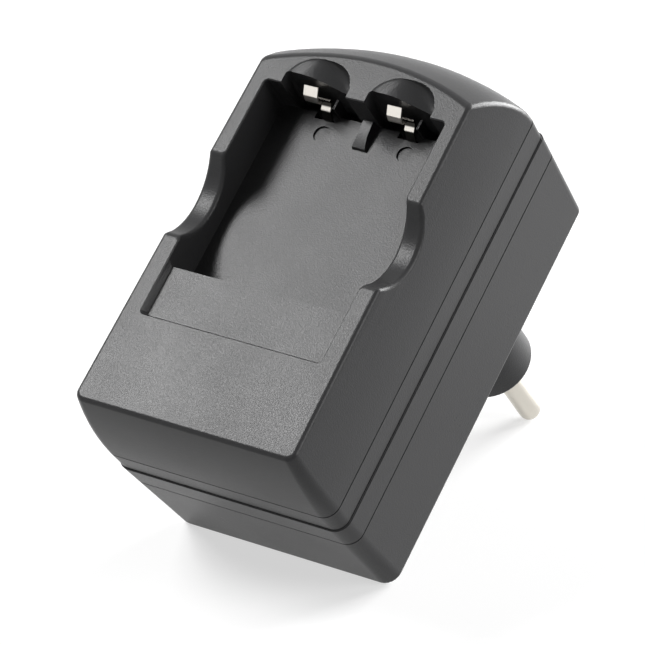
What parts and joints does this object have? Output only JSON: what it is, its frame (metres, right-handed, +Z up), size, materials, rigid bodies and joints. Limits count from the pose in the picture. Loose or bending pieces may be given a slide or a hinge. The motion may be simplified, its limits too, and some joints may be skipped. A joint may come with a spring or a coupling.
{
  "type": "plug-in battery charger",
  "caption": "Mains plug-in charger for camera batteries: tapered plastic case with an open front bay, sprung contacts, finger notches and round plug pins behind.",
  "frame": {"origin": "on the ground, under the middle of the charger's overall box", "axes": "+Z up with the charger resting on the lower rear edge of its case and its pins' tips; +X towards the case's right side as seen from the front; +Y from the lower end towards the contact end, level with the ground"},
  "size_m": [0.0478, 0.0905, 0.0789],
  "materials": {
    "cover_plastic": "fine even grain, matt charcoal",
    "housing_plastic": "fine even grain, matt charcoal",
    "pin_plating": "plated pin, softly polished",
    "retainer_plastic": "plain ivory moulding",
    "strap_brass": "stamped strip, unpolished",
    "spring_plating": "bright plated strip",
    "board_laminate": "solder mask over glass laminate",
    "ferrite": "sintered ferrite, dull",
    "component_black": "moulded epoxy",
    "winding_tape": "tape over enamelled wire",
    "capacitor_sleeve": "shrink sleeve",
    "fuse_ceramic": "glazed body",
    "capacitor_resin": "dipped resin",
    "screw_steel": "plain steel"
  },
  "bodies": {
    "root": {"front_cover": "cover_plastic", "rear_housing": "housing_plastic", "plug_pin_left": "pin_plating", "plug_pin_right": "pin_plating", "pin_retainer": "retainer_plastic", "pin_strap_left": "strap_brass", "pin_strap_right": "strap_brass", "contact_spring_left": "spring_plating", "contact_spring_right": "spring_plating", "circuit_board": "board_laminate", "transformer_core": "ferrite", "transformer_bobbin": "component_black", "transformer_winding": "winding_tape", "input_capacitor": "capacitor_sleeve", "output_capacitor": "capacitor_sleeve", "bridge_rectifier": "component_black", "mains_fuse": "fuse_ceramic", "input_choke": "winding_tape", "switch_controller": "component_black", "optocoupler": "retainer_plastic", "safety_capacitor": "capacitor_resin", "output_diode": "component_black", "charge_controller": "component_black", "case_screws": "screw_steel"}
  },
  "joints": []
}
